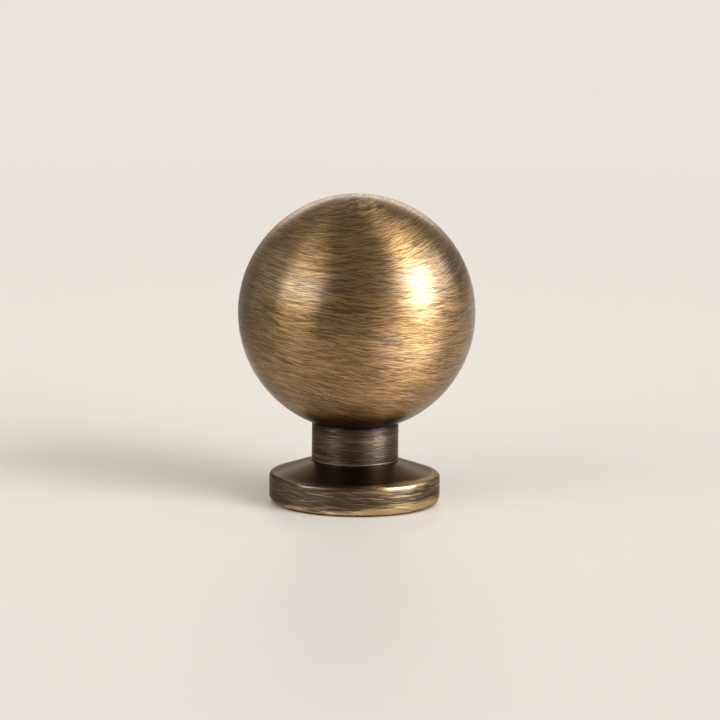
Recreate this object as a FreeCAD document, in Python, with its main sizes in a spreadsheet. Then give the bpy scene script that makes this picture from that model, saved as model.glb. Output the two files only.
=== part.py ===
import FreeCAD, Part
import math
import os
import Sketcher

# A cabinet knob of turned brass: a solid ball on a short neck on a round base.
# Millimetres. Z is the knob's axis, and the origin is the middle of the base's underside.
# The ball and the base each have a hole that a spigot of the neck fits. A bolt from behind
# the door draws the neck down, and the neck's shoulder holds the base against the door.

SIZES = {
    "ball_diameter": 30.0,  # the grip
    "neck_diameter": 11.0,
    "neck_length": 4.9,  # what shows of it, from the base to the ball's flat
    "neck_lip": 0.2,  # the polished chamfer round its foot
    "neck_top_chamfer": 0.15,
    "base_diameter": 21.7,
    "base_edge_height": 3.7,  # where the side and the conical top would meet
    "base_top_slope": 18.5,  # degrees that the top rises by, from the rim to the neck
    "base_rim_radius": 0.5,  # rounding between the side and the top
    "base_foot_radius": 1.0,  # rounding between the side and the underside
    "base_land": 0.15,  # flat ring that is left on the base round the neck
    "upper_spigot_diameter": 6.0,  # in the ball
    "upper_spigot_length": 7.0,
    "socket_spare": 0.5,  # room in the ball above the spigot's end
    "lower_spigot_diameter": 8.0,  # in the base
    "lower_spigot_setback": 0.2,  # how far its end stays inside the base's underside
    "spigot_clearance": 0.02,  # gap all round each spigot
    "spigot_chamfer": 0.4,
    "bore_chamfer": 0.3,  # broken edge of the base's bore, at the underside
    "bolt_drill_diameter": 3.3,  # tapping drill of an M4 thread
    "bolt_hole_depth": 10.0,  # full diameter, from the lower spigot's end
    "bolt_lead_diameter": 4.2,  # mouth of the countersink that leads the bolt in
    "bolt_lead_angle": 90.0,
    "drill_point_angle": 118.0,
}

BALL_RADIUS = "sizes.ball_diameter / 2"
NECK_RADIUS = "sizes.neck_diameter / 2"
BASE_RADIUS = "sizes.base_diameter / 2"
UPPER_SPIGOT_RADIUS = "sizes.upper_spigot_diameter / 2"
LOWER_SPIGOT_RADIUS = "sizes.lower_spigot_diameter / 2"
LAND_RADIUS = f"({NECK_RADIUS} + sizes.base_land)"
SEAT_HEIGHT = f"(sizes.base_edge_height + ({BASE_RADIUS} - {LAND_RADIUS}) * tan(sizes.base_top_slope))"
FLAT_HEIGHT = f"({SEAT_HEIGHT} + sizes.neck_length)"
BALL_CENTRE = f"sqrt(({BALL_RADIUS}) ^ 2 - ({NECK_RADIUS}) ^ 2)"
LOWER_SPIGOT_LENGTH = f"({SEAT_HEIGHT} - sizes.lower_spigot_setback)"
NECK_TOP = "(sizes.neck_length + sizes.upper_spigot_length)"
AXIS = "0"

ORIGIN_POINT = (-1, 1)
HORIZONTAL_AXIS = -1
VERTICAL_AXIS = -2
START = 1
END = 2
CENTRE = 3
FULL_TURN = 360
NEAR = 1e-6


def new_sheet(doc):
    """Writes the driving dimensions into a spreadsheet, one named cell each."""
    sheet = doc.addObject("Spreadsheet::Sheet", "sizes")
    for row, (name, value) in enumerate(SIZES.items(), start=1):
        sheet.set(f"A{row}", name)
        sheet.set(f"B{row}", str(value))
        sheet.setAlias(f"B{row}", name)
    doc.recompute()


def new_body(doc, name, seat="0"):
    """Starts a piece in its own frame, and sets that frame on the knob's axis at the height seat."""
    body = doc.addObject("PartDesign::Body", name)
    body.Label = name
    body.setExpression("Placement.Base.z", seat)
    return body


def new_sketch(body, name, role):
    """Starts a sketch on one of the body's own origin planes."""
    sketch = body.newObject("Sketcher::SketchObject", name)
    plane = [p for p in body.Origin.OriginFeatures if p.Role == role][0]
    sketch.AttachmentSupport = [(plane, "")]
    sketch.MapMode = "FlatFace"
    return sketch


def number(obj, expression):
    """The value of an expression of the spreadsheet's sizes, as a plain number."""
    return float(obj.evalExpression(expression))


def bind(sketch, kind, geometry, point, expression):
    """Ties a point's DistanceX or DistanceY from the origin to an expression. Zero puts it on an axis."""
    if expression == AXIS:
        axis = VERTICAL_AXIS if kind == "DistanceX" else HORIZONTAL_AXIS
        sketch.addConstraint(Sketcher.Constraint("PointOnObject", geometry, point, axis))
        return
    value = number(sketch, expression)
    index = sketch.addConstraint(Sketcher.Constraint(kind, *ORIGIN_POINT, geometry, point, value))
    sketch.setExpression(f"Constraints[{index}]", expression)


def add_outline(sketch, corners):
    """Draws the closed outline of a turned piece, counter-clockwise. A corner is a radius, a height and,
    where it is rounded, the rounding's radius."""
    points = [FreeCAD.Vector(number(sketch, c[0]), number(sketch, c[1]), 0) for c in corners]
    count = len(points)
    for i in range(count):
        sketch.addGeometry(Part.LineSegment(points[i], points[(i + 1) % count]))
    for i, (radius, height, *rounding) in enumerate(corners):
        last = (i - 1) % count
        if rounding:
            corner = add_rounding(sketch, points, last, i, *rounding)
        else:
            corner = i
            sketch.addConstraint(Sketcher.Constraint("Coincident", last, END, i, START))
        bind(sketch, "DistanceX", corner, START, radius)
        bind(sketch, "DistanceY", corner, START, height)


def add_rounding(sketch, points, last, i, rounding):
    """Rounds the outline's corner i with an arc tangent to both its lines, last and i, and keeps the
    sharp corner as a point that the sizes are measured to. Gives that point."""
    before, corner, after = points[last], points[i], points[(i + 1) % len(points)]
    back = (before - corner).normalize()
    ahead = (after - corner).normalize()
    radius = number(sketch, rounding)
    half = back.getAngle(ahead) / 2
    reach = radius / math.tan(half)
    start = corner + back * reach
    end = corner + ahead * reach
    middle = corner + (back + ahead).normalize() * (radius / math.sin(half) - radius)
    sketch.moveGeometry(last, END, start)
    sketch.moveGeometry(i, START, end)
    arc = sketch.addGeometry(Part.Arc(start, middle, end))
    sharp = sketch.addGeometry(Part.Point(corner), True)
    sketch.addConstraint(Sketcher.Constraint("Tangent", last, END, arc, START))
    sketch.addConstraint(Sketcher.Constraint("Tangent", arc, END, i, START))
    sketch.addConstraint(Sketcher.Constraint("PointOnObject", sharp, START, last))
    sketch.addConstraint(Sketcher.Constraint("PointOnObject", sharp, START, i))
    index = sketch.addConstraint(Sketcher.Constraint("Radius", arc, radius))
    sketch.setExpression(f"Constraints[{index}]", rounding)
    return sharp


def revolve(body, name, sketch):
    """Turns a sketch once round the knob's axis."""
    turned = body.newObject("PartDesign::Revolution", name)
    turned.Profile = sketch
    turned.ReferenceAxis = (sketch, ["V_Axis"])
    turned.Angle = FULL_TURN
    body.Document.recompute()


def ring(body, radius, height):
    """Names the body's circular edge of a given radius and height, in the body's own frame."""
    radius = number(body, radius)
    height = number(body, height)
    for i, edge in enumerate(body.Tip.Shape.Edges, start=1):
        curve = edge.Curve
        if isinstance(curve, Part.Circle) and abs(curve.Radius - radius) < NEAR:
            if abs(curve.Center.z - height) < NEAR:
                return f"Edge{i}"
    raise RuntimeError(f"{body.Label} has no ring of radius {radius} at height {height}")


def chamfer(body, name, size, *rings):
    """Chamfers some of the body's rings, each a radius and a height."""
    edges = [ring(body, radius, height) for radius, height in rings]
    sharp = body.Tip
    feature = body.newObject("PartDesign::Chamfer", name)
    feature.Base = (sharp, edges)
    feature.setExpression("Size", size)
    body.Document.recompute()


def drill(body, name, height, diameter, **settings):
    """Drills a hole up the knob's axis from a height of the body, and checks that it cuts."""
    before = body.Shape.Volume
    sketch = new_sketch(body, f"{name}_centre", "XY_Plane")
    sketch.setExpression("AttachmentOffset.Base.z", height)
    sketch.addGeometry(Part.Circle(FreeCAD.Vector(), FreeCAD.Vector(0, 0, 1), number(sketch, diameter) / 2))
    sketch.addConstraint(Sketcher.Constraint("Coincident", 0, CENTRE, *ORIGIN_POINT))
    index = sketch.addConstraint(Sketcher.Constraint("Diameter", 0, number(sketch, diameter)))
    sketch.setExpression(f"Constraints[{index}]", diameter)
    body.Document.recompute()
    hole = body.newObject("PartDesign::Hole", name)
    hole.Profile = sketch
    hole.Reversed = True
    hole.setExpression("Diameter", diameter)
    for key, value in settings.items():
        if isinstance(value, str) and "sizes." in value:
            hole.setExpression(key, value)
        else:
            setattr(hole, key, value)
    body.Document.recompute()
    if body.Shape.Volume >= before - NEAR:
        raise RuntimeError(f"{name} cuts nothing")


def make_base(doc):
    """The round foot: a vertical side, rounded rims, a conical top and a bore for the neck."""
    body = new_body(doc, "base")
    sketch = new_sketch(body, "base_profile", "XZ_Plane")
    corners = [
        (AXIS, AXIS),
        (BASE_RADIUS, AXIS, "sizes.base_foot_radius"),
        (BASE_RADIUS, "sizes.base_edge_height", "sizes.base_rim_radius"),
        (LAND_RADIUS, SEAT_HEIGHT),
        (AXIS, SEAT_HEIGHT),
    ]
    add_outline(sketch, corners)
    revolve(body, "base_turned", sketch)
    bore = "(sizes.lower_spigot_diameter + 2 * sizes.spigot_clearance)"
    drill(body, "base_bore", AXIS, bore, DepthType="ThroughAll")
    chamfer(body, "base_bore_edge", "sizes.bore_chamfer", (f"{bore} / 2", AXIS))


def make_neck(doc):
    """The plain cylinder that shows, with a spigot at each end and the bolt's hole up its middle."""
    body = new_body(doc, "neck", SEAT_HEIGHT)
    sketch = new_sketch(body, "neck_profile", "XZ_Plane")
    bottom = f"-{LOWER_SPIGOT_LENGTH}"
    corners = [
        (AXIS, bottom),
        (LOWER_SPIGOT_RADIUS, bottom),
        (LOWER_SPIGOT_RADIUS, AXIS),
        (NECK_RADIUS, AXIS),
        (NECK_RADIUS, "sizes.neck_length"),
        (UPPER_SPIGOT_RADIUS, "sizes.neck_length"),
        (UPPER_SPIGOT_RADIUS, NECK_TOP),
        (AXIS, NECK_TOP),
    ]
    add_outline(sketch, corners)
    revolve(body, "neck_turned", sketch)
    chamfer(body, "neck_foot_lip", "sizes.neck_lip", (NECK_RADIUS, AXIS))
    chamfer(body, "neck_head_edge", "sizes.neck_top_chamfer", (NECK_RADIUS, "sizes.neck_length"))
    ends = [(LOWER_SPIGOT_RADIUS, bottom), (UPPER_SPIGOT_RADIUS, NECK_TOP)]
    chamfer(body, "spigot_ends", "sizes.spigot_chamfer", *ends)
    drill(
        body,
        "bolt_hole",
        bottom,
        "sizes.bolt_drill_diameter",
        DepthType="Dimension",
        Depth="sizes.bolt_hole_depth",
        HoleCutType="Countersink",
        HoleCutDiameter="sizes.bolt_lead_diameter",
        HoleCutCountersinkAngle="sizes.bolt_lead_angle",
        DrillPoint="Angled",
        DrillPointAngle="sizes.drill_point_angle",
    )


def make_ball(doc):
    """The grip: a sphere with a flat where the neck seats, and a drilled socket for its spigot."""
    body = new_body(doc, "ball", FLAT_HEIGHT)
    sketch = new_sketch(body, "ball_profile", "XZ_Plane")
    radius = number(sketch, BALL_RADIUS)
    flat = number(sketch, NECK_RADIUS)
    centre = FreeCAD.Vector(0, number(sketch, BALL_CENTRE), 0)
    top = centre + FreeCAD.Vector(0, radius, 0)
    side = centre + FreeCAD.Vector(radius, 0, 0)
    rim = FreeCAD.Vector(flat, 0, 0)
    sketch.addGeometry(Part.Arc(rim, side, top))
    sketch.addGeometry(Part.LineSegment(top, FreeCAD.Vector()))
    sketch.addGeometry(Part.LineSegment(FreeCAD.Vector(), rim))
    sketch.addConstraint(Sketcher.Constraint("Coincident", 0, END, 1, START))
    sketch.addConstraint(Sketcher.Constraint("Coincident", 1, END, *ORIGIN_POINT))
    sketch.addConstraint(Sketcher.Constraint("Coincident", 2, START, *ORIGIN_POINT))
    sketch.addConstraint(Sketcher.Constraint("Coincident", 2, END, 0, START))
    sketch.addConstraint(Sketcher.Constraint("Horizontal", 2))
    bind(sketch, "DistanceX", 0, CENTRE, AXIS)
    bind(sketch, "DistanceX", 0, END, AXIS)
    bind(sketch, "DistanceX", 0, START, NECK_RADIUS)
    index = sketch.addConstraint(Sketcher.Constraint("Radius", 0, radius))
    sketch.setExpression(f"Constraints[{index}]", BALL_RADIUS)
    revolve(body, "ball_turned", sketch)
    drill(
        body,
        "neck_socket",
        AXIS,
        "(sizes.upper_spigot_diameter + 2 * sizes.spigot_clearance)",
        DepthType="Dimension",
        Depth="(sizes.upper_spigot_length + sizes.socket_spare)",
        DrillPoint="Angled",
        DrillPointAngle="sizes.drill_point_angle",
    )


def write_parts(doc):
    """Checks every object, then writes each piece to a file of its own."""
    for obj in doc.Objects:
        if "Invalid" in obj.State or "Error" in obj.State:
            raise RuntimeError(f"{obj.Label} failed: {obj.State}")
    bodies = [obj for obj in doc.Objects if obj.isDerivedFrom("PartDesign::Body")]
    for body in bodies:
        shape = body.Shape
        if shape.isNull() or not shape.isValid() or len(shape.Solids) != 1:
            raise RuntimeError(f"{body.Label} is not one valid solid")
    os.makedirs("parts", exist_ok=True)
    for body in bodies:
        body.Shape.exportStep(f"parts/{body.Label}.step")
        box = body.Shape.BoundBox
        print(f"{body.Label}: {body.Shape.Volume:.1f} mm3, from {box.ZMin:.3f} to {box.ZMax:.3f} mm")


def main():
    doc = FreeCAD.newDocument("cabinet_knob")
    new_sheet(doc)
    make_base(doc)
    make_neck(doc)
    make_ball(doc)
    doc.recompute()
    write_parts(doc)


main()
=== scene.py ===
import math

import bmesh
import bpy
from mathutils import Matrix, Vector


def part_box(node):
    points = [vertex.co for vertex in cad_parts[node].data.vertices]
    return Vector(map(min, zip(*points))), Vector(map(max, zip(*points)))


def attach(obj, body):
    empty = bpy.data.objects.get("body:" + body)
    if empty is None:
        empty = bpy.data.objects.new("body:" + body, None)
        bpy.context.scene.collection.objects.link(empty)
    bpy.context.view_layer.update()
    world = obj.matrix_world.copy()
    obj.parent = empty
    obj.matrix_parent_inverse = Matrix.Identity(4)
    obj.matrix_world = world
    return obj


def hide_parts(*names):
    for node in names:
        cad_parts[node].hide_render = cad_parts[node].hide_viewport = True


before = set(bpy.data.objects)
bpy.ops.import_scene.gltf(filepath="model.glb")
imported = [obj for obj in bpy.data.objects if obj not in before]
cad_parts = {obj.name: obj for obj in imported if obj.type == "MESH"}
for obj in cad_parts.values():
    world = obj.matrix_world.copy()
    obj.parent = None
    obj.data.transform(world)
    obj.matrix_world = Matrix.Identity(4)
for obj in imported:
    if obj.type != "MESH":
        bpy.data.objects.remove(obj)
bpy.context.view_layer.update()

MM = 0.001  # metres in a millimetre

# Real sizes of the knob, in mm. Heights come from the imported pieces.
BALL_RADIUS = 15.0
NECK_RADIUS = 5.5
BALL_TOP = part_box("ball")[1].z / MM
BALL_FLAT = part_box("ball")[0].z / MM
BALL_CENTRE = BALL_TOP - BALL_RADIUS
BASE_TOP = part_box("base")[1].z / MM
NECK_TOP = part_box("neck")[1].z / MM
NECK_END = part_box("neck")[0].z / MM
FOOT_LIP = 0.2  # rounding of the neck's foot
HEAD_LIP = 0.15  # rounding of the neck's head
UPPER_SPIGOT = 3.0  # radius
LOWER_SPIGOT = 4.0  # radius
SPIGOT_CHAMFER = 0.4

# The bolt hole and its M4 thread, in mm
HOLE_RADIUS = 1.65  # the tapping drill
HOLE_END = NECK_END + 10.0
POINT_ANGLE = 118.0  # degrees
HOLE_POINT = HOLE_END + HOLE_RADIUS / math.tan(math.radians(POINT_ANGLE / 2))
LEAD_RADIUS = 2.1  # the countersink's mouth
LEAD_END = NECK_END + 0.45
THREAD_PITCH = 0.7
THREAD_DEPTH = 0.36
THREAD_END = NECK_END + 8.5
THREAD_CREST = 0.125  # half the flat that is left between two turns, as a share of the pitch
THREAD_FLANK = 0.3125  # a sloping side's share of the pitch

# How finely the neck is drawn
NECK_STEPS = 96  # round the axis
THREAD_RINGS = 16  # to a turn of the thread
LEAD_RINGS = 10
LIP_STEPS = 6
SHARP_ANGLE = 35  # degrees, from which an edge is drawn sharp

# How the brush strokes swing over the ball, fitted to the photograph
BALL_LEAN = 0.105
BALL_BEND = -0.075
BALL_TWIST = -0.152
BALL_SWEEP = -0.17  # more bend, over the upper half
BALL_CROWN = -0.20
HEIGHT_REACH = 1.35  # more than the strokes' height ever comes to, on a ball of radius 1

# The metals
QUARTER_TURN = 0.25  # turns the highlights so that they are drawn out across the strokes
BALL_BUMP = 0.006  # mm, how deep the strokes are
NECK_BUMP = 0.020
BASE_BUMP = 0.008

# The floor and the room
PALE = "EBE4DC"  # the floor and everything behind it
FLOOR_REACH = 4.0  # m, each way
PLAIN_FROM = 0.15  # m from the knob, where the floor starts to be drawn plain
PLAIN_BY = 0.5
FLAG_FROM = -0.03  # m along x, where the metal starts to see the floor darker
FLAG_BY = -0.07
FLAG_SHARE = 0.6  # how much darker
ROOM_FRONT = 0.06  # how bright the metal sees the room, where the pale background is 1
ROOM_BACK = 0.36
ROOM_ABOVE = 0.38
ROOM_LIGHT = 0.43  # how bright the floor sees it
ROOM_TINT = "EAE4DD"

# Soft boxes that don't light the floor: name, azimuth, elevation, and how wide and high the box looks
# from the ball, all in degrees, then its radiance
BOX_DISTANCE = 0.6  # m, from the ball
BOX_COLOUR = "ECF7FF"
SOFT_BOXES = (
    ("key", 63.5, 22.5, 29, 42, 5.2),
    ("key_core", 74, 26.5, 28, 26, 15.0),
    ("key_wing", 103, 26, 26, 28, 3.2),
    ("fill", -60, 24, 39, 20, 7.3),
    ("fill_wing", -106, 16, 34, 50, 0.35),
)
RIM_BOX = ("rim", 180, 17.6, 36, 14, 2.0)  # behind the knob, and warmer
RIM_COLOUR = "FFF3E4"

# A bright round place on the table, outside the picture
GLOW_AZIMUTH = 50  # degrees
GLOW_DISTANCE = 0.078  # m, from the knob's axis
GLOW_SIZE = 0.09  # m across
GLOW_HEIGHT = 0.001  # m over the floor
GLOW_RADIANCE = 1.75

# Suns for the floor: name, azimuth, elevation and spread in degrees, share of the floor's light, colour
FLOOR_SUNS = (
    ("key_floor", 53, 20.5, 42, 0.415, "F0F6FC"),
    ("fill_floor", -48, 21, 48, 0.14, "FFFFFF"),
    ("front_floor", 5, 36, 60, 0.1, "FFFFFF"),
)

# The camera's place, fitted to the knob's outline in the photograph
FRAME_PIXELS = 720  # the picture's width and height
SENSOR = 36.0  # mm
VIEW_DISTANCE = 400.0  # mm
VIEW_ELEVATION = 8.45  # degrees
VIEW_ROLL = 0.77  # degrees
PIXELS_PER_MM = 7.905  # at the aim
AIM_HEIGHT = 20.0  # mm
AIM_PIXEL = (356.3, 346.0)
NEAREST = 0.01  # m, that the camera sees
FURTHEST = 20.0


def linear(code):
    """An sRGB hex colour as the linear red, green, blue and alpha that a shader takes."""
    parts = [int(code[i:i + 2], 16) / 255 for i in (0, 2, 4)]
    return (*[c / 12.92 if c <= 0.04045 else ((c + 0.055) / 1.055) ** 2.4 for c in parts], 1.0)


def add(tree, kind, inputs=None, out=0, **settings):
    """Adds a node with its settings and links, and gives one of its outputs. An input is another
    node's output, a number, a tuple or a colour in hex."""
    node = tree.nodes.new("ShaderNode" + kind)
    for name, value in settings.items():
        setattr(node, name, value)
    for key, value in (inputs or {}).items():
        if isinstance(value, bpy.types.NodeSocket):
            tree.links.new(value, node.inputs[key])
        else:
            node.inputs[key].default_value = linear(value) if isinstance(value, str) else value
    return node.outputs[out]


def material(name, make):
    """A new material whose surface make(tree) gives."""
    made = bpy.data.materials.new(name)
    made.use_nodes = True
    tree = made.node_tree
    tree.nodes.clear()
    output = tree.nodes.new("ShaderNodeOutputMaterial")
    tree.links.new(make(tree), output.inputs["Surface"])
    return made


def place_mm(tree):
    """The surface's place on the knob, in mm."""
    place = add(tree, "TexCoord", out=3)
    return add(tree, "VectorMath", {0: place, "Scale": 1 / MM}, operation="SCALE")


def streaks(tree, place, height, length, width, seed):
    """Noise drawn out along the lines where height, in mm, stays the same."""
    run = add(tree, "VectorMath", {0: place, "Scale": 1 / length}, operation="SCALE")
    across = add(tree, "Math", {0: height, 1: 1 / width, 2: seed}, operation="MULTIPLY_ADD")
    noise = {"Vector": run, "W": across, "Scale": 1.0, "Detail": 0.0}
    return add(tree, "TexNoise", noise, noise_dimensions="4D")


def strokes(tree, place, height, length, width, seed):
    """Brush strokes as a value round 0.5. They run where height, in mm, stays the same, and length and
    width are a stroke's, in mm. The strokes of a fine pad are about 0.05 mm wide, too fine to show, so
    these are drawn coarser. Long lines are broken into strokes by where the pad presses."""
    line = streaks(tree, place, height, 4 * length, width, seed)
    pressure = streaks(tree, place, height, length, 3 * width, -seed)
    pressure = add(tree, "MapRange", {"Value": pressure, "From Min": 0.36, "From Max": 0.62})
    return add(tree, "Mix", {0: pressure, 2: 0.5, 3: line}, data_type="FLOAT")


def crossing(tree, height, across, lean):
    """A height for strokes that lean off those of another one, by a slope."""
    return add(tree, "Math", {0: across, 1: lean, 2: height}, operation="MULTIPLY_ADD")


def stroke_tangent(tree, along, grain, amount):
    """The direction of the strokes for the shader. Each leans a little off its neighbours, so that a
    highlight has ragged edges."""
    sway = add(tree, "Math", {0: grain, 1: 0.5}, operation="SUBTRACT")
    sway = add(tree, "Math", {0: sway, 1: amount}, operation="MULTIPLY")
    sway = add(tree, "CombineXYZ", {2: sway})
    return add(tree, "VectorMath", {0: along, 1: sway})


def ball_lines(tree, spot, x, z):
    """The lines that the brush followed over the ball, which has radius 1 here. On each of them
    z + x (LEAN + bend x + TWIST z + CROWN up up) stays the same, where up is z on the upper half and bend
    is BEND + SWEEP up. Gives that sum, as a height, and the way along the line."""
    up = add(tree, "Math", {0: z, 1: 0.0}, operation="MAXIMUM")
    bend = add(tree, "Math", {0: up, 1: BALL_SWEEP, 2: BALL_BEND}, operation="MULTIPLY_ADD")
    swing = add(tree, "Math", {0: x, 1: bend, 2: BALL_LEAN}, operation="MULTIPLY_ADD")
    swing = add(tree, "Math", {0: z, 1: BALL_TWIST, 2: swing}, operation="MULTIPLY_ADD")
    crowning = add(tree, "Math", {0: up, 1: BALL_CROWN}, operation="MULTIPLY")
    swing = add(tree, "Math", {0: up, 1: crowning, 2: swing}, operation="MULTIPLY_ADD")
    height = add(tree, "Math", {0: x, 1: swing, 2: z}, operation="MULTIPLY_ADD")
    # The way along is square to the slope of that height
    steep = add(tree, "Math", {0: x, 1: bend, 2: swing}, operation="MULTIPLY_ADD")
    rise = add(tree, "Math", {0: x, 1: BALL_TWIST, 2: 1.0}, operation="MULTIPLY_ADD")
    slope = add(tree, "CombineXYZ", {0: steep, 2: rise})
    return height, add(tree, "VectorMath", {0: spot, 1: slope}, operation="CROSS_PRODUCT")


def ball_surface(tree):
    """Antique brass: brass darkened with patina, then brushed back by hand in short strokes and lacquered.
    The eye gets a golden brown with fine light and dark strokes, soft highlights drawn out across them,
    and dark patina round the neck, deepened with painted shade where the ball meets the neck."""
    place = place_mm(tree)
    centred = add(tree, "VectorMath", {0: place, 1: (0.0, 0.0, BALL_CENTRE)}, operation="SUBTRACT")
    spot = add(tree, "VectorMath", {0: centred, "Scale": 1 / BALL_RADIUS}, operation="SCALE")
    x = add(tree, "SeparateXYZ", {0: spot})
    z = x.node.outputs[2]
    height, along = ball_lines(tree, spot, x, z)
    # The lines waver a little
    wave = add(tree, "TexNoise", {"Vector": spot, "Scale": 2.0, "Detail": 0.0})
    wave = add(tree, "Math", {0: wave, 1: 0.5}, operation="SUBTRACT")
    height = add(tree, "Math", {0: wave, 1: 0.06, 2: height}, operation="MULTIPLY_ADD")
    # The height in mm, stretched towards the crown, so that the strokes widen less there
    height = add(tree, "Math", {0: height, 1: 1 / HEIGHT_REACH}, operation="MULTIPLY")
    height = add(tree, "Math", {0: height}, operation="ARCSINE")
    height = add(tree, "Math", {0: height, 1: BALL_RADIUS * HEIGHT_REACH}, operation="MULTIPLY")
    sideways = add(tree, "Math", {0: x, 1: BALL_RADIUS}, operation="MULTIPLY")
    leaning = crossing(tree, height, sideways, lean=-0.20)
    rising = crossing(tree, height, sideways, lean=0.19)
    wide = strokes(tree, centred, height, length=1.7, width=0.092, seed=3.0)
    fine = strokes(tree, centred, leaning, length=1.1, width=0.072, seed=31.0)
    hair = strokes(tree, centred, rising, length=0.9, width=0.066, seed=57.0)
    both = add(tree, "Math", {0: wide, 1: fine}, operation="ADD")
    both = add(tree, "Math", {0: both, 1: hair}, operation="ADD")
    grain = add(tree, "MapRange", {"Value": both, "From Min": 1.35, "From Max": 1.65})
    # Clouds in the patina, over some 5 mm
    cloud = add(tree, "TexNoise", {"Vector": spot, "Scale": 2.7, "Detail": 3.0, "Roughness": 0.6})
    stops = {"From Min": 0.3, "From Max": 0.7, "To Min": -0.14, "To Max": 0.14}
    cloud = add(tree, "MapRange", {"Value": cloud, **stops})
    tone = add(tree, "Math", {0: grain, 1: 1.5}, operation="POWER")
    tone = add(tree, "Math", {0: tone, 1: cloud}, operation="ADD", use_clamp=True)
    colour = add(tree, "Mix", {0: tone, 6: "644A2B", 7: "BC9361"}, out=2, data_type="RGBA")
    # Dark patina round the neck, up to 2.9 mm over the flat, and painted shade where the neck meets the ball
    left = add(tree, "SeparateXYZ", {0: place}, out=2)
    stops = {"From Min": BALL_FLAT + 2.9, "From Max": BALL_FLAT + 0.9}
    left = add(tree, "MapRange", {"Value": left, **stops}, interpolation_type="SMOOTHSTEP")
    colour = add(tree, "Mix", {0: left, 6: colour, 7: "2E1E12"}, out=2, data_type="RGBA")
    rough = add(tree, "MapRange", {"Value": grain, "To Min": 0.44, "To Max": 0.40})
    bump = add(tree, "Bump", {"Height": grain, "Distance": BALL_BUMP * MM, "Strength": 1.0})
    along = stroke_tangent(tree, along, wide, 0.4)
    # Swirled over the crown, where the lines close
    stops = {"From Min": 0.84, "From Max": 0.97, "To Max": 1.5}
    crown = add(tree, "MapRange", {"Value": z, **stops}, interpolation_type="SMOOTHSTEP")
    swirl = add(tree, "TexNoise", {"Vector": centred, "Scale": 0.7, "Detail": 1.0}, out=1)
    swirl = add(tree, "VectorMath", {0: swirl, 1: (0.5, 0.5, 0.5)}, operation="SUBTRACT")
    swirl = add(tree, "VectorMath", {0: swirl, "Scale": crown}, operation="SCALE")
    along = add(tree, "VectorMath", {0: along, 1: swirl})
    return add(
        tree,
        "BsdfPrincipled",
        {
            "Base Color": colour,
            "Metallic": 1.0,
            "Roughness": rough,
            "Specular Tint": "EEE4D6",
            "Anisotropic": 0.82,
            "Anisotropic Rotation": QUARTER_TURN,
            "Tangent": along,
            "Normal": bump,
            "Coat Weight": 0.65,
            "Coat Roughness": 0.28,
        },
    )


def turned_height(tree, place):
    """The way across turned strokes on the neck and base, in mm: up a side, and inwards over a top. Gives
    it with the distance from the axis and the height over the door."""
    flat = add(tree, "VectorMath", {0: place, 1: (1.0, 1.0, 0.0)}, operation="MULTIPLY")
    radius = add(tree, "VectorMath", {0: flat}, out=1, operation="LENGTH")
    height = add(tree, "SeparateXYZ", {0: place}, out=2)
    return add(tree, "Math", {0: height, 1: radius}, operation="SUBTRACT"), radius, height


def neck_surface(tree):
    """Bronzed brass: a dark purple brown from a chemical dip, turned and brushed round. The eye gets fine
    level scratches, paler where they catch the light, a thin polished band at the foot, partly a painted
    highlight, and painted shadow just under the ball."""
    place = place_mm(tree)
    across, _, height = turned_height(tree, place)
    x = add(tree, "SeparateXYZ", {0: place})
    rising = crossing(tree, across, x, lean=0.03)
    leaning = crossing(tree, across, x, lean=-0.05)
    bands = strokes(tree, place, across, length=4.0, width=0.40, seed=11.0)
    lines = strokes(tree, place, rising, length=2.2, width=0.12, seed=23.0)
    hair = strokes(tree, place, leaning, length=1.4, width=0.085, seed=37.0)
    both = add(tree, "Math", {0: lines, 1: hair}, operation="ADD")
    both = add(tree, "Math", {0: bands, 1: 0.5, 2: both}, operation="MULTIPLY_ADD")
    grain = add(tree, "MapRange", {"Value": both, "From Min": 1.10, "From Max": 1.40})
    colour = add(tree, "Mix", {0: grain, 6: "33261C", 7: "6A5645"}, out=2, data_type="RGBA")
    # Pale up to 0.3 mm from the base: polished, and partly a painted highlight. Dark under the ball: painted
    # shadow
    stops = {"From Min": BASE_TOP + 0.30, "From Max": BASE_TOP + 0.18}
    lip_polish_and_highlight = add(tree, "MapRange", {"Value": height, **stops})
    colour = add(tree, "Mix", {0: lip_polish_and_highlight, 6: colour, 7: "A89686"}, out=2, data_type="RGBA")
    stops = {"From Min": BALL_FLAT - 0.9, "From Max": BALL_FLAT - 0.1}
    ball_shadow = add(tree, "MapRange", {"Value": height, **stops})
    colour = add(tree, "Mix", {0: ball_shadow, 6: colour, 7: "2A211A"}, out=2, data_type="RGBA")
    rough = add(tree, "MapRange", {"Value": grain, "To Min": 0.46, "To Max": 0.30})
    bump = add(tree, "Bump", {"Height": grain, "Distance": NECK_BUMP * MM, "Strength": 1.0})
    along = add(tree, "Tangent", direction_type="RADIAL", axis="Z")
    return add(
        tree,
        "BsdfPrincipled",
        {
            "Base Color": colour,
            "Metallic": 1.0,
            "Roughness": rough,
            "Specular Tint": "C8B8A4",
            "Anisotropic": 0.62,
            "Anisotropic Rotation": QUARTER_TURN,
            "Tangent": stroke_tangent(tree, along, hair, 1.6),
            "Normal": bump,
            "Coat Weight": 0.3,
            "Coat Roughness": 0.25,
            "Coat Normal": bump,
        },
    )


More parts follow.
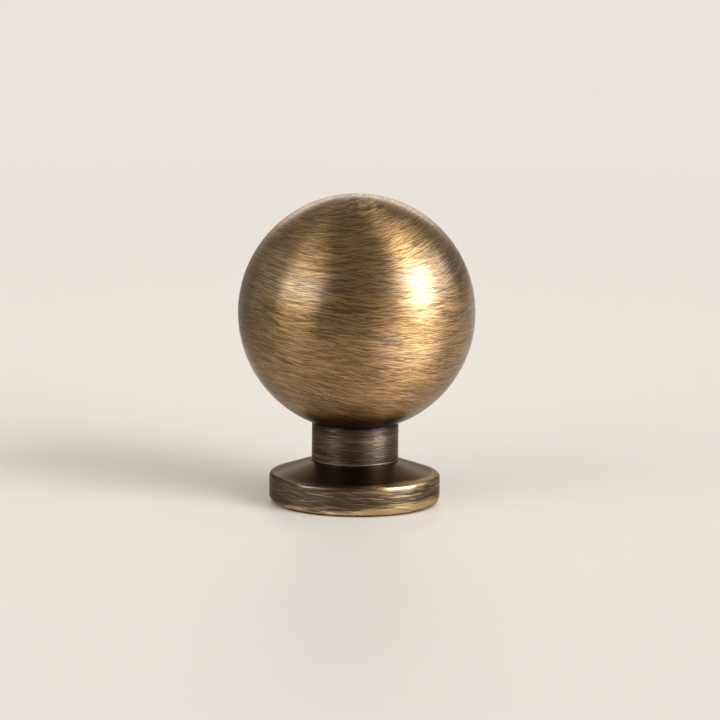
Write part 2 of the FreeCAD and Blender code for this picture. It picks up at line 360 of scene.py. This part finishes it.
def base_edges(tree, x, radius, height, lit_side_wear):
    """How much the base's two edges are rubbed, from 0 to 1: the foot, and the rim round its top. On the
    right, where the key light falls, the foot is rubbed further up the side and the rim further in, partly as
    painted light."""
    lower = add(tree, "Math", {0: lit_side_wear, 1: -0.5, 2: height}, operation="MULTIPLY_ADD")
    foot = add(tree, "MapRange", {"Value": lower, "From Min": 1.15, "From Max": 0.45})
    wider = add(tree, "Math", {0: lit_side_wear, 1: 0.3, 2: radius}, operation="MULTIPLY_ADD")
    out_edge = add(tree, "MapRange", {"Value": wider, "From Min": 9.95, "From Max": 10.45})
    shoulder = add(tree, "MapRange", {"Value": height, "From Min": 2.7, "From Max": 3.7})
    rim = add(tree, "Math", {0: out_edge, 1: shoulder}, operation="MULTIPLY")
    # The rim is made duller on the left, in the middle and at both its ends: partly less rubbing, partly
    # painted shade
    spared_and_shaded = add(tree, "MapRange", {"Value": lit_side_wear, "To Min": 0.6})
    aside = add(tree, "Math", {0: x}, operation="ABSOLUTE")
    stops = {"From Min": 1.5, "From Max": 4.5, "To Min": 0.55, "To Max": 1.0}
    middle_shade = add(tree, "MapRange", {"Value": aside, **stops})
    stops = {"From Min": 7.0, "From Max": 9.0, "To Min": 1.0, "To Max": 0.4}
    end_shade = add(tree, "MapRange", {"Value": aside, **stops})
    for share in (spared_and_shaded, middle_shade, end_shade):
        rim = add(tree, "Math", {0: rim, 1: share}, operation="MULTIPLY")
    return add(tree, "Math", {0: foot, 1: rim}, operation="MAXIMUM")


def base_wear_and_light(tree, edges, ragged, lit_side_wear):
    """The rubbed edges of the base with a ragged border, which is less ragged on the right, where the key
    light falls, partly as painted light.
    """
    stops = {"From Min": 1.95, "From Max": 2.55, "To Min": 0.9, "To Max": 0.15}
    ragged = add(tree, "MapRange", {"Value": ragged, **stops})
    ragged = add(tree, "Math", {0: lit_side_wear, 1: -0.45, 2: ragged}, operation="MULTIPLY_ADD")
    worn_and_lit = add(tree, "Math", {0: edges, 1: ragged}, operation="SUBTRACT")
    worn_and_lit = add(tree, "MapRange", {"Value": worn_and_lit, "From Min": -0.15, "From Max": 0.35})
    worn_and_lit = add(tree, "Math", {0: worn_and_lit, 1: edges}, operation="MULTIPLY")
    return add(tree, "MapRange", {"Value": worn_and_lit, "From Max": 0.7})


def base_surface(tree):
    """Dark antique brass: a grey brown patina, brushed round in long strokes, and rubbed back to golden
    brass along its two edges and in thin scratches on its side, most of all on the right, where the key light
    falls, so that part of that gold is painted light."""
    place = place_mm(tree)
    across, radius, height = turned_height(tree, place)
    x = add(tree, "SeparateXYZ", {0: place})
    wave = add(tree, "TexNoise", {"Vector": place, "Scale": 0.15, "Detail": 0.0})
    across = add(tree, "Math", {0: wave, 1: 1.0, 2: across}, operation="MULTIPLY_ADD")
    level = crossing(tree, across, x, lean=0.03)
    rising = crossing(tree, across, x, lean=0.14)
    leaning = crossing(tree, across, x, lean=-0.08)
    long = strokes(tree, place, level, length=3.0, width=0.17, seed=17.0)
    fine = strokes(tree, place, rising, length=2.2, width=0.10, seed=41.0)
    hair = strokes(tree, place, leaning, length=1.6, width=0.08, seed=59.0)
    both = add(tree, "Math", {0: long, 1: fine}, operation="ADD")
    both = add(tree, "Math", {0: both, 1: hair}, operation="ADD")
    grain = add(tree, "MapRange", {"Value": both, "From Min": 1.3, "From Max": 1.7})
    # From 1 mm left of the middle to 4 mm right of it: more rubbed towards the right, where the key light
    # falls, partly as painted light
    stops = {"From Min": -1.0, "From Max": 4.0}
    lit_side_wear = add(tree, "MapRange", {"Value": x, **stops}, interpolation_type="SMOOTHSTEP")
    edges = base_edges(tree, x, radius, height, lit_side_wear)
    blotch = add(tree, "TexNoise", {"Vector": place, "Scale": 0.35, "Detail": 2.0})
    ragged = add(tree, "Math", {0: blotch, 1: 1.5, 2: both}, operation="MULTIPLY_ADD")
    worn_and_lit = base_wear_and_light(tree, edges, ragged, lit_side_wear)
    side = add(tree, "MapRange", {"Value": radius, "From Min": 10.5, "From Max": 10.75})
    # More scratches on the right as well, partly painted light
    depth = add(tree, "MapRange", {"Value": lit_side_wear, "To Min": 0.2, "To Max": 0.5})
    scratch = add(tree, "Math", {0: fine, 1: hair}, operation="ADD")
    scratch = add(tree, "MapRange", {"Value": scratch, "From Min": 1.03, "From Max": 1.16})
    scratch = add(tree, "Math", {0: scratch, 1: side}, operation="MULTIPLY")
    scratch = add(tree, "Math", {0: scratch, 1: depth}, operation="MULTIPLY")
    bare_and_lit = add(tree, "Math", {0: worn_and_lit, 1: scratch}, operation="MAXIMUM")
    # The sole, which nothing rubs, keeps its patina: a dark band that is painted contact shade along the
    # floor.
    # The top is darker than the side, partly as painted shade under the ball and neck
    sole_contact_shade = add(tree, "MapRange", {"Value": height, "From Min": 0.15, "From Max": 0.4})
    bare_and_lit = add(tree, "Math", {0: bare_and_lit, 1: sole_contact_shade}, operation="MULTIPLY")
    top = add(tree, "MapRange", {"Value": radius, "From Min": 10.3, "From Max": 9.8})
    patina = add(tree, "Mix", {0: grain, 6: "44372B", 7: "604E3F"}, out=2, data_type="RGBA")
    # A darker copy of the patina for the top: a darker patina with painted shade from the ball and neck
    dark = add(tree, "Mix", {0: grain, 6: "2A1E14", 7: "463423"}, out=2, data_type="RGBA")
    patina = add(tree, "Mix", {0: top, 6: patina, 7: dark}, out=2, data_type="RGBA")
    brass = add(tree, "Mix", {0: grain, 6: "94744A", 7: "E0C08C"}, out=2, data_type="RGBA")
    colour = add(tree, "Mix", {0: bare_and_lit, 6: patina, 7: brass}, out=2, data_type="RGBA")
    rough = add(tree, "MapRange", {"Value": bare_and_lit, "To Min": 0.42, "To Max": 0.27})
    bump = add(tree, "Bump", {"Height": grain, "Distance": BASE_BUMP * MM, "Strength": 1.0})
    along = add(tree, "Tangent", direction_type="RADIAL", axis="Z")
    return add(
        tree,
        "BsdfPrincipled",
        {
            "Base Color": colour,
            "Metallic": 1.0,
            "Roughness": rough,
            "Specular Tint": "C6BAAA",
            "Anisotropic": 0.65,
            "Anisotropic Rotation": QUARTER_TURN,
            "Tangent": stroke_tangent(tree, along, long, 1.0),
            "Normal": bump,
            "Coat Weight": 0.27,
            "Coat Roughness": 0.25,
            "Coat Normal": bump,
        },
    )


def turned(name, profile, steps, cut):
    """A piece turned on a lathe. profile is its outline as (radius, height) in mm, from one end on the axis
    to the other. cut(angle, radius, height) gives how far a point of a bore is cut deeper, in mm."""
    build = bmesh.new()
    rings = []
    for radius, height in profile:
        if radius == 0:
            rings.append([build.verts.new((0, 0, height * MM))])
            continue
        ring = []
        for step in range(steps):
            angle = 2 * math.pi * step / steps
            reach = (radius + cut(angle, radius, height)) * MM
            ring.append(build.verts.new((reach * math.cos(angle), reach * math.sin(angle), height * MM)))
        rings.append(ring)
    for low, high in zip(rings, rings[1:]):
        for i in range(steps):
            j = (i + 1) % steps
            corners = [low[i % len(low)], low[j % len(low)], high[j % len(high)], high[i % len(high)]]
            build.faces.new(list(dict.fromkeys(corners)))
    bmesh.ops.recalc_face_normals(build, faces=build.faces)
    mesh = bpy.data.meshes.new(name)
    build.to_mesh(mesh)
    build.free()
    mesh.polygons.foreach_set("use_smooth", [True] * len(mesh.polygons))
    mesh.set_sharp_from_angle(angle=math.radians(SHARP_ANGLE))
    piece = bpy.data.objects.new(name, mesh)
    bpy.context.scene.collection.objects.link(piece)
    return piece


def arc(centre, radius, start, end, steps):
    """Points of an arc as (radius, height), between two directions in degrees: 0 outwards, 90 up."""
    turns = [math.radians(start + (end - start) * i / steps) for i in range(steps + 1)]
    return [(centre[0] + radius * math.cos(t), centre[1] + radius * math.sin(t)) for t in turns]


def straight(start, end, steps):
    """Points of a straight line as (radius, height), with both its ends."""
    return [tuple(a + (b - a) * i / steps for a, b in zip(start, end)) for i in range(steps + 1)]


def thread_cut(angle, radius, height):
    """How far the M4 thread is cut into the bolt hole's wall at a point, in mm."""
    if radius > LEAD_RADIUS or not NECK_END <= height <= THREAD_END:
        return 0
    turn = (height / THREAD_PITCH - angle / (2 * math.pi)) % 1
    inwards = (0.5 - abs(turn - 0.5) - THREAD_CREST) / THREAD_FLANK
    runout = min((THREAD_END - height) / THREAD_PITCH, 1)
    depth = THREAD_DEPTH * min(max(inwards, 0), 1) * runout
    return max(HOLE_RADIUS + depth - radius, 0)


def make_neck():
    """The neck with a real M4 thread in its bolt hole and rounded lips."""
    thread_rings = int((THREAD_END - LEAD_END) / THREAD_PITCH * THREAD_RINGS)
    profile = [(0, HOLE_POINT), (HOLE_RADIUS, HOLE_END)]
    profile += straight((HOLE_RADIUS, THREAD_END), (HOLE_RADIUS, LEAD_END), thread_rings)
    profile += straight((HOLE_RADIUS, LEAD_END), (LEAD_RADIUS, NECK_END), LEAD_RINGS)[1:]
    profile += [(LOWER_SPIGOT - SPIGOT_CHAMFER, NECK_END), (LOWER_SPIGOT, NECK_END + SPIGOT_CHAMFER)]
    profile += [(LOWER_SPIGOT, BASE_TOP)]
    profile += arc((NECK_RADIUS - FOOT_LIP, BASE_TOP + FOOT_LIP), FOOT_LIP, -90, 0, LIP_STEPS)
    profile += arc((NECK_RADIUS - HEAD_LIP, BALL_FLAT - HEAD_LIP), HEAD_LIP, 0, 90, LIP_STEPS)
    profile += [(UPPER_SPIGOT, BALL_FLAT), (UPPER_SPIGOT, NECK_TOP - SPIGOT_CHAMFER)]
    profile += [(UPPER_SPIGOT - SPIGOT_CHAMFER, NECK_TOP), (0, NECK_TOP)]
    neck = turned("neck_turned", profile, NECK_STEPS, thread_cut)
    neck.data.materials.append(material("bronzed_brass", neck_surface))
    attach(neck, "root")
    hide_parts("neck")


def finish(node, surface_material):
    """Gives a CAD piece its material."""
    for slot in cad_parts[node].material_slots:
        slot.material = surface_material


def floor_surface(tree):
    """A pale, faintly satin surface. Far from the knob it is drawn plain, so that it runs on evenly. The
    metal sees it darker on the left, as if a black flag stood there outside the picture."""
    satin = {"Base Color": PALE, "Roughness": 0.5, "Specular IOR Level": 0.35}
    near = add(tree, "BsdfPrincipled", satin)
    far = add(tree, "Emission", {"Color": PALE, "Strength": 1.0})
    place = add(tree, "TexCoord", out=3)
    distance = add(tree, "VectorMath", {0: place}, out=1, operation="LENGTH")
    stops = {"From Min": PLAIN_FROM, "From Max": PLAIN_BY}
    away = add(tree, "MapRange", {"Value": distance, **stops}, interpolation_type="SMOOTHSTEP")
    ray = add(tree, "LightPath").node.outputs
    seen = add(tree, "Math", {0: ray["Is Camera Ray"], 1: ray["Is Glossy Ray"]}, operation="MAXIMUM")
    seen = add(tree, "Math", {0: seen, 1: ray["Is Transmission Ray"]}, operation="MAXIMUM")
    plain = add(tree, "Math", {0: away, 1: seen}, operation="MULTIPLY")
    table = add(tree, "MixShader", {0: plain, 1: near, 2: far})
    x = add(tree, "SeparateXYZ", {0: place})
    stops = {"From Min": FLAG_FROM, "From Max": FLAG_BY, "To Max": FLAG_SHARE}
    flag = add(tree, "MapRange", {"Value": x, **stops}, interpolation_type="SMOOTHSTEP")
    flag = add(tree, "Math", {0: flag, 1: ray["Is Glossy Ray"]}, operation="MULTIPLY")
    return add(tree, "MixShader", {0: flag, 1: table, 2: add(tree, "Emission", {"Strength": 0.0})})


def make_floor():
    """The floor that the knob stands on, which isn't part of it."""
    mesh = bpy.data.meshes.new("floor")
    corners = [(x * FLOOR_REACH, y * FLOOR_REACH, 0) for x, y in ((-1, -1), (1, -1), (1, 1), (-1, 1))]
    mesh.from_pydata(corners, [], [(0, 1, 2, 3)])
    floor = bpy.data.objects.new("floor", mesh)
    bpy.context.scene.collection.objects.link(floor)
    mesh.materials.append(material("pale_floor", floor_surface))
    return floor


def make_world():
    """A dim studio. The metal sees it dimmest in front of the knob, behind the camera, and paler behind the
    knob and above. The floor gets an even light from it, and the camera sees it pale."""
    world = bpy.data.worlds.new("room")
    bpy.context.scene.world = world
    world.use_nodes = True
    tree = world.node_tree
    tree.nodes.clear()
    towards = add(tree, "TexCoord", out=0)
    z = add(tree, "SeparateXYZ", {0: towards}, out=2)
    y = z.node.outputs[1]
    stops = {"From Min": -1.0, "From Max": 1.0, "To Min": ROOM_FRONT, "To Max": ROOM_BACK}
    behind = add(tree, "MapRange", {"Value": y, **stops})
    stops = {"From Min": 0.15, "From Max": 0.6, "To Min": 1.0, "To Max": 0.0}
    low = add(tree, "MapRange", {"Value": z, **stops}, interpolation_type="SMOOTHSTEP")
    level = add(tree, "Mix", {0: low, 2: ROOM_ABOVE, 3: behind}, data_type="FLOAT")
    ray = add(tree, "LightPath").node.outputs
    level = add(tree, "Mix", {0: ray["Is Diffuse Ray"], 2: level, 3: ROOM_LIGHT}, data_type="FLOAT")
    strength = add(tree, "Mix", {0: ray["Is Camera Ray"], 2: level, 3: 1.0}, data_type="FLOAT")
    tints = {0: ray["Is Diffuse Ray"], 6: PALE, 7: ROOM_TINT}
    colour = add(tree, "Mix", tints, out=2, data_type="RGBA")
    shade = add(tree, "Background", {"Color": colour, "Strength": strength})
    tree.links.new(shade, tree.nodes.new("ShaderNodeOutputWorld").inputs["Surface"])


def direction(azimuth, elevation):
    """The way towards a light. Azimuth 0 is in front of the knob and 90 on its right, in degrees."""
    a, e = math.radians(azimuth), math.radians(elevation)
    return Vector((math.sin(a) * math.cos(e), -math.cos(a) * math.cos(e), math.sin(e)))


def soft_box(name, azimuth, elevation, across, up, radiance, colour, unlit=None):
    """A soft box aimed at the ball, which the metal mirrors. across and up are how large it looks from
    there, in degrees. The collection unlit names what it doesn't light."""
    lamp = bpy.data.lights.new(name, "AREA")
    lamp.shape = "RECTANGLE"
    lamp.size = 2 * BOX_DISTANCE * math.tan(math.radians(across / 2))
    lamp.size_y = 2 * BOX_DISTANCE * math.tan(math.radians(up / 2))
    lamp.energy = radiance * math.pi * lamp.size * lamp.size_y
    lamp.color = linear(colour)[:3]
    towards = direction(azimuth, elevation)
    box = bpy.data.objects.new(name, lamp)
    box.location = Vector((0, 0, BALL_CENTRE * MM)) + towards * BOX_DISTANCE
    box.rotation_euler = towards.to_track_quat("Z", "Y").to_euler()
    box.visible_camera = False
    box.visible_diffuse = False
    box.light_linking.receiver_collection = unlit
    bpy.context.scene.collection.objects.link(box)


def floor_sun(name, azimuth, elevation, spread, share, colour):
    """A broad soft light for the floor and the knob's shadow on it, which the metal doesn't mirror. share
    is its part of the light on the open floor."""
    lamp = bpy.data.lights.new(name, "SUN")
    lamp.angle = math.radians(spread)
    lamp.color = linear(colour)[:3]
    lamp.energy = share * math.pi / math.sin(math.radians(elevation)) / lamp.color.g
    sun = bpy.data.objects.new(name, lamp)
    sun.rotation_euler = direction(azimuth, elevation).to_track_quat("Z", "Y").to_euler()
    sun.visible_glossy = False
    bpy.context.scene.collection.objects.link(sun)


def table_glow():
    """The table outside the picture, bright in front of the key light, as the ball's underside mirrors it."""
    lamp = bpy.data.lights.new("table_glow", "AREA")
    lamp.shape = "ELLIPSE"
    lamp.size = GLOW_SIZE
    lamp.size_y = GLOW_SIZE
    lamp.energy = GLOW_RADIANCE * math.pi * lamp.size * lamp.size_y
    glow = bpy.data.objects.new("table_glow", lamp)
    glow.location = direction(GLOW_AZIMUTH, 0) * GLOW_DISTANCE + Vector((0, 0, GLOW_HEIGHT))
    glow.rotation_euler = (math.pi, 0, 0)
    glow.visible_camera = False
    glow.visible_diffuse = False
    bpy.context.scene.collection.objects.link(glow)


def make_lights(floor):
    """Big soft boxes for the metal to mirror, which put no glare on the floor, and suns that light it."""
    unlit = bpy.data.collections.new("no_glare")
    unlit.objects.link(floor)
    unlit.collection_objects[0].light_linking.link_state = "EXCLUDE"
    for box in SOFT_BOXES:
        soft_box(*box, BOX_COLOUR, unlit)
    soft_box(*RIM_BOX, RIM_COLOUR)
    table_glow()
    for sun in FLOOR_SUNS:
        floor_sun(*sun)


def make_camera():
    """The camera, set so that the knob fills the same place in the picture as in the photograph."""
    lens = bpy.data.cameras.new("camera")
    lens.sensor_width = SENSOR
    lens.lens = PIXELS_PER_MM * VIEW_DISTANCE / FRAME_PIXELS * SENSOR
    lens.shift_x = (FRAME_PIXELS / 2 - AIM_PIXEL[0]) / FRAME_PIXELS
    lens.shift_y = (AIM_PIXEL[1] - FRAME_PIXELS / 2) / FRAME_PIXELS
    lens.clip_start = NEAREST
    lens.clip_end = FURTHEST
    camera = bpy.data.objects.new("camera", lens)
    back = direction(0, VIEW_ELEVATION)
    place = Matrix.Translation((Vector((0, 0, AIM_HEIGHT)) + back * VIEW_DISTANCE) * MM)
    roll = Matrix.Rotation(math.radians(VIEW_ROLL), 4, "Z")
    camera.matrix_world = place @ back.to_track_quat("Z", "Y").to_matrix().to_4x4() @ roll
    bpy.context.scene.collection.objects.link(camera)
    bpy.context.scene.camera = camera


finish("ball", material("antique_brass_brushed", ball_surface))
finish("base", material("antique_brass_rubbed", base_surface))
make_neck()
floor = make_floor()
make_world()
make_lights(floor)
make_camera()
bpy.context.scene.view_settings.view_transform = "Standard"
